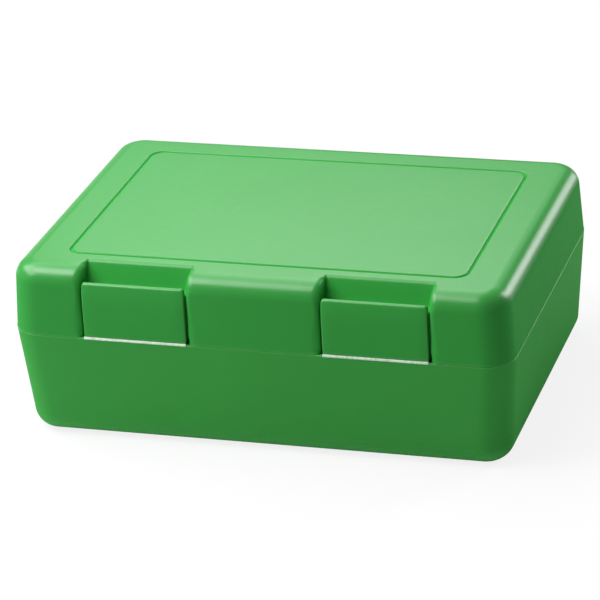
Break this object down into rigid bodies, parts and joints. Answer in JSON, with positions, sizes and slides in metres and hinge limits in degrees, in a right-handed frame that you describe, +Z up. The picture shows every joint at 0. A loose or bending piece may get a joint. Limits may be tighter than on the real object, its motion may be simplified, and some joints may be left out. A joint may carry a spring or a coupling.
{
  "type": "snap lid food container",
  "caption": "Rectangular moulded lunch box with a tapered base, a hinged lid with a framed panel, and front snap latches on film hinges.",
  "frame": {"origin": "middle of the box's outline, on the surface that it stands on", "axes": "+X along the length, to the right seen from the latches; +Y from the latches to the rear hinges; +Z up"},
  "size_m": [0.185, 0.1316, 0.0665],
  "materials": {
    "base_plastic": "satin green polypropylene with a fine moulded grain",
    "lid_plastic": "satin green polypropylene with a fine moulded grain",
    "latch_plastic": "satin green polypropylene with a fine moulded grain",
    "bent_film": "thin green polypropylene, whitened where it bends",
    "rear_film": "thin satin green polypropylene"
  },
  "bodies": {
    "base": {"base_tray": "base_plastic", "left_latch_film_hinge": "bent_film", "right_latch_film_hinge": "bent_film", "left_rear_film_hinge": "rear_film", "right_rear_film_hinge": "rear_film"},
    "lid": {"lid": "lid_plastic"},
    "left_latch": {"left_latch": "latch_plastic"},
    "right_latch": {"right_latch": "latch_plastic"}
  },
  "joints": [
    {"name": "lid_hinge", "type": "hinge", "parent": "base", "child": "lid", "pos_m": [0, 0.06565, 0.041], "axis": [-1, 0, 0], "range_deg": [0, 180], "deforming": ["left_rear_film_hinge", "right_rear_film_hinge"]},
    {"name": "left_latch_hinge", "type": "hinge", "parent": "base", "child": "left_latch", "pos_m": [-0.0443, -0.06565, 0.04145], "axis": [1, 0, 0], "range_deg": [0, 180], "deforming": ["left_latch_film_hinge"]},
    {"name": "right_latch_hinge", "type": "hinge", "parent": "base", "child": "right_latch", "pos_m": [0.0443, -0.06565, 0.04145], "axis": [1, 0, 0], "range_deg": [0, 180], "deforming": ["right_latch_film_hinge"]}
  ]
}
